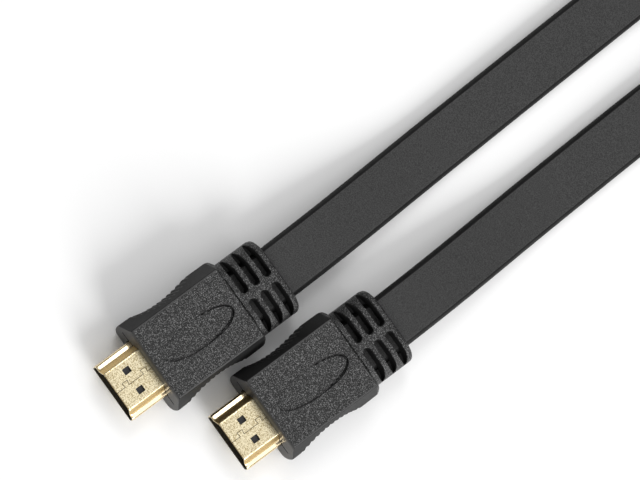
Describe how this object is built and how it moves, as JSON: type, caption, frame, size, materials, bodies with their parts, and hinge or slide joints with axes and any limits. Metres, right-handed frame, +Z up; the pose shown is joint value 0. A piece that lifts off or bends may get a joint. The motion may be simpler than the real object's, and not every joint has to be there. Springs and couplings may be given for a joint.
{
  "type": "hdmi cable",
  "caption": "Flat digital video cable with a gold-plated type A plug on each end, moulded grips with side scoops and slotted strain reliefs, spare length coiled on edge.",
  "frame": {"origin": "on the floor, under the middle of the box round the two plugs", "axes": "+Z up, the plugs point along -Y with their narrow side up, the cable leaves them along +Y, +X from the rear plug to the front one's right"},
  "size_m": [0.1064, 0.2876, 0.0125],
  "materials": {
    "gold_shell": "gold-plated, fine matt face and bright folded edges",
    "gold_contact": "gold-plated, smooth",
    "black_insert": "moulded, smooth",
    "moulding": "moulded PVC with a fine spark-eroded grain",
    "cable_jacket": "extruded PVC, very fine grain, matt"
  },
  "bodies": {
    "root": {"left_plug_shell": "gold_shell", "left_plug_insert": "black_insert", "left_contact_01": "gold_contact", "left_contact_02": "gold_contact", "left_contact_03": "gold_contact", "left_contact_04": "gold_contact", "left_contact_05": "gold_contact", "left_contact_06": "gold_contact", "left_contact_07": "gold_contact", "left_contact_08": "gold_contact", "left_contact_09": "gold_contact", "left_contact_10": "gold_contact", "left_contact_11": "gold_contact", "left_contact_12": "gold_contact", "left_contact_13": "gold_contact", "left_contact_14": "gold_contact", "left_contact_15": "gold_contact", "left_contact_16": "gold_contact", "left_contact_17": "gold_contact", "left_contact_18": "gold_contact", "left_contact_19": "gold_contact", "left_plug_moulding": "moulding", "right_plug_shell": "gold_shell", "right_plug_insert": "black_insert", "right_contact_01": "gold_contact", "right_contact_02": "gold_contact", "right_contact_03": "gold_contact", "right_contact_04": "gold_contact", "right_contact_05": "gold_contact", "right_contact_06": "gold_contact", "right_contact_07": "gold_contact", "right_contact_08": "gold_contact", "right_contact_09": "gold_contact", "right_contact_10": "gold_contact", "right_contact_11": "gold_contact", "right_contact_12": "gold_contact", "right_contact_13": "gold_contact", "right_contact_14": "gold_contact", "right_contact_15": "gold_contact", "right_contact_16": "gold_contact", "right_contact_17": "gold_contact", "right_contact_18": "gold_contact", "right_contact_19": "gold_contact", "right_plug_moulding": "moulding", "cable_left_leg": "cable_jacket", "cable_right_leg": "cable_jacket", "cable_coil": "cable_jacket", "cable_middle": "cable_jacket"}
  },
  "joints": []
}
